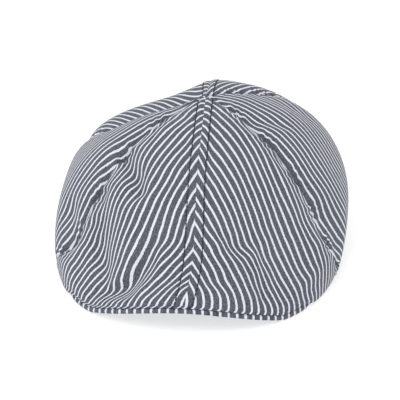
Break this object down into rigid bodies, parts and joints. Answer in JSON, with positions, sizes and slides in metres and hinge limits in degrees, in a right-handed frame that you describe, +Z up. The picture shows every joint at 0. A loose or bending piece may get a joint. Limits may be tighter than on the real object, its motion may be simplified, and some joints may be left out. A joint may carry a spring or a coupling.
{
  "type": "flat cap",
  "caption": "Duckbill flat cap of striped cotton twill, a panelled crown sewn down over a stiff arched peak, with a hem band round the open head hollow.",
  "frame": {"origin": "middle of the cap's length and width, on the surface that it stands on", "axes": "+Z up, -Y towards the peak, +X to the right of someone who looks at the peak"},
  "size_m": [0.215, 0.2606, 0.1124],
  "materials": {
    "crown_cloth": "matte grey-blue cotton twill with narrow white stripes",
    "peak_cover": "the same striped twill drawn tight over a board",
    "hem_cloth": "the same striped twill, folded and stitched"
  },
  "bodies": {
    "root": {"front_panel_left": "crown_cloth", "front_panel_right": "crown_cloth", "side_panel_left": "crown_cloth", "side_panel_right": "crown_cloth", "back_panel_left": "crown_cloth", "back_panel_right": "crown_cloth", "peak": "peak_cover", "hem_band": "hem_cloth"}
  },
  "joints": []
}
